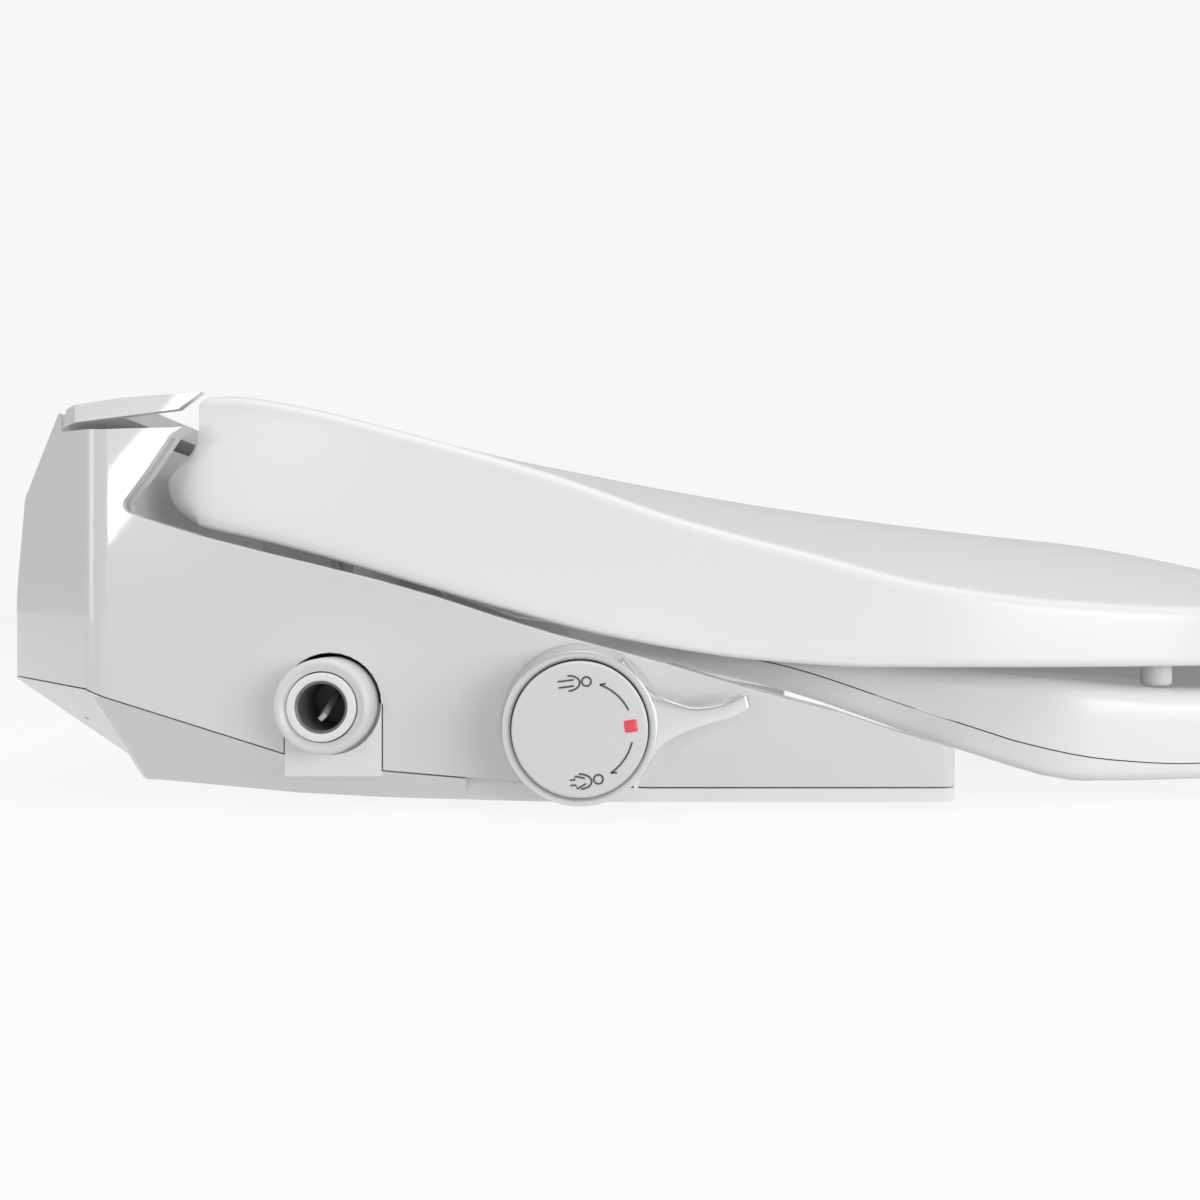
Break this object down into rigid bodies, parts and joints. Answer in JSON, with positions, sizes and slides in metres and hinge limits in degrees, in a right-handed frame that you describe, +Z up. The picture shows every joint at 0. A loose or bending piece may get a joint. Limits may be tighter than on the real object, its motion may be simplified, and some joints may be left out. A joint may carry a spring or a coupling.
{
  "type": "bidet seat",
  "caption": "White bidet seat worked by water pressure: sloping lid, ring seat, faceted housing with a turning side lever, a hose inlet and sliding wash nozzles.",
  "frame": {"origin": "midway between the two bowl fixing bolts, on the bowl's top face, at the underside of the bracket pad", "axes": "+X to the front of the bowl, +Y to the seated user's left, +Z up"},
  "size_m": [0.536, 0.4237, 0.1314],
  "materials": {
    "gloss_white": "polished moulded thermoset",
    "satin_white": "smooth moulded, slightly softer gloss",
    "inner_plastic": "as moulded",
    "nozzle_white": "smooth moulded",
    "grey_plastic": "as moulded",
    "bumper_rubber": "soft matt",
    "dark_rubber": "matt",
    "hose": "semi-matt tube",
    "lever_silver": "satin metallic, circular brushing on the ring",
    "ceramic_disc": "lapped",
    "pin_steel": "turned",
    "mark_red": "inlaid mark"
  },
  "bodies": {
    "housing": {"main_cover": "gloss_white", "rear_ridge_cover": "gloss_white", "inlet_collar": "gloss_white", "base_chassis": "satin_white", "inlet_fitting": "satin_white", "mounting_bracket": "inner_plastic", "nozzle_carrier": "inner_plastic", "valve_body": "inner_plastic", "check_valve_pin": "inner_plastic", "seat_damper": "grey_plastic", "lid_damper": "grey_plastic", "flow_regulator": "grey_plastic", "bracket_pad": "dark_rubber", "spindle_seal": "dark_rubber", "supply_hose": "hose", "rear_hose": "hose", "front_hose": "hose", "ceramic_disc_fixed": "ceramic_disc", "hinge_pin_right": "pin_steel", "hinge_pin_left": "pin_steel", "inlet_strainer": "pin_steel", "guard_pin": "pin_steel", "cover_screw_rear_right": "pin_steel", "cover_screw_rear_left": "pin_steel", "cover_screw_front_right": "pin_steel", "cover_screw_front_left": "pin_steel"},
    "seat": {"seat_top_shell": "gloss_white", "seat_bottom_shell": "satin_white", "seat_bumper_mid_right": "bumper_rubber", "seat_bumper_mid_left": "bumper_rubber", "seat_bumper_front_right": "bumper_rubber", "seat_bumper_front_left": "bumper_rubber", "seat_bush_right": "inner_plastic", "seat_bush_left": "inner_plastic"},
    "lid": {"lid_shell": "gloss_white", "lid_bumper_right": "bumper_rubber", "lid_bumper_left": "bumper_rubber", "lid_bush_right": "inner_plastic", "lid_bush_left": "inner_plastic"},
    "lever": {"control_lever": "lever_silver", "knob_cap": "gloss_white", "off_mark": "mark_red", "valve_spindle": "pin_steel", "ceramic_disc_turning": "ceramic_disc"},
    "rear_nozzle_slider": {"rear_nozzle": "nozzle_white", "rear_nozzle_tip": "grey_plastic"},
    "front_nozzle_slider": {"front_nozzle": "nozzle_white", "front_nozzle_tip": "grey_plastic"},
    "guard_flap": {"nozzle_guard": "satin_white"},
    "release": {"release_button": "satin_white"}
  },
  "joints": [
    {"name": "seat_hinge", "type": "hinge", "parent": "housing", "child": "seat", "pos_m": [0.02, 0, 0.095], "axis": [0, -1, 0], "range_deg": [0, 100]},
    {"name": "lid_hinge", "type": "hinge", "parent": "seat", "child": "lid", "pos_m": [0.02, 0, 0.095], "axis": [0, 1, 0], "range_deg": [-105, 0]},
    {"name": "lever_turn", "type": "hinge", "parent": "housing", "child": "lever", "pos_m": [0.124, -0.2, 0.0248], "axis": [0, -1, 0], "range_deg": [-60, 60]},
    {"name": "rear_nozzle_slide", "type": "slide", "parent": "housing", "child": "rear_nozzle_slider", "axis": [0.9511, 0, -0.309], "range_m": [0, 0.055], "stiffness_N_per_m": 20, "springref_m": -0.02},
    {"name": "front_nozzle_slide", "type": "slide", "parent": "housing", "child": "front_nozzle_slider", "axis": [0.9511, 0, -0.309], "range_m": [0, 0.055], "stiffness_N_per_m": 20, "springref_m": -0.02},
    {"name": "guard_flap_hinge", "type": "hinge", "parent": "housing", "child": "guard_flap", "pos_m": [0.091, 0, 0.031], "axis": [0, -1, 0], "range_deg": [0, 80]},
    {"name": "release_button_press", "type": "slide", "parent": "housing", "child": "release", "axis": [0, -1, 0], "range_m": [0, 0.003], "stiffness_N_per_m": 400, "springref_m": -0.002}
  ]
}
